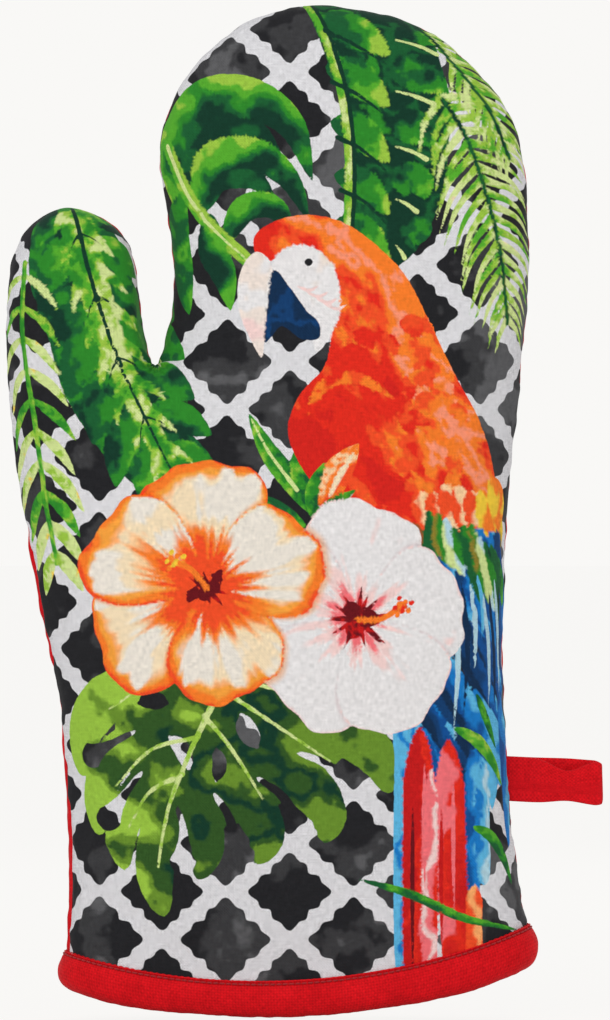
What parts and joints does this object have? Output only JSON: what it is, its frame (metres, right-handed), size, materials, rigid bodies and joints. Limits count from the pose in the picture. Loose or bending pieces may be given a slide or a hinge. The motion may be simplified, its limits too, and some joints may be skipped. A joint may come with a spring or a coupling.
{
  "type": "oven mitt",
  "caption": "Long padded oven mitt with a separate thumb, patterned front, plain back, soft lining, bound cuff and a fabric hanging loop that swings at its side seam.",
  "frame": {"origin": "middle of the cuff's opening, level with the lowest point of the hem", "axes": "+Z from the cuff to the fingertips, -Y out of the patterned front, thumb on -X, hanging loop on +X"},
  "size_m": [0.1942, 0.049, 0.33],
  "materials": {
    "printed_cotton": "plain-weave cotton with a printed tropical pattern, matt",
    "red_cotton": "plain-weave cotton, matt",
    "wadding": "lofted polyester or cotton wadding",
    "lining_cotton": "plain-weave cotton, matt",
    "binding_cotton": "bias-cut cotton tape, matt",
    "red_thread": "spun sewing thread",
    "pale_thread": "spun sewing thread"
  },
  "bodies": {
    "mitt": {"front_shell": "printed_cotton", "back_shell": "red_cotton", "front_wadding": "wadding", "back_wadding": "wadding", "front_lining": "lining_cotton", "back_lining": "lining_cotton", "cuff_binding": "binding_cotton", "loop_tail": "binding_cotton", "shell_seam_thread": "pale_thread", "lining_seam_thread": "pale_thread", "binding_needle_thread": "red_thread", "binding_bobbin_thread": "red_thread"},
    "loop": {"hanging_loop": "binding_cotton"}
  },
  "joints": [
    {"name": "loop_swing", "type": "hinge", "parent": "mitt", "child": "loop", "pos_m": [0.06985, 0, 0.0775], "axis": [0, 0, 1], "range_deg": [-70, 70]}
  ]
}
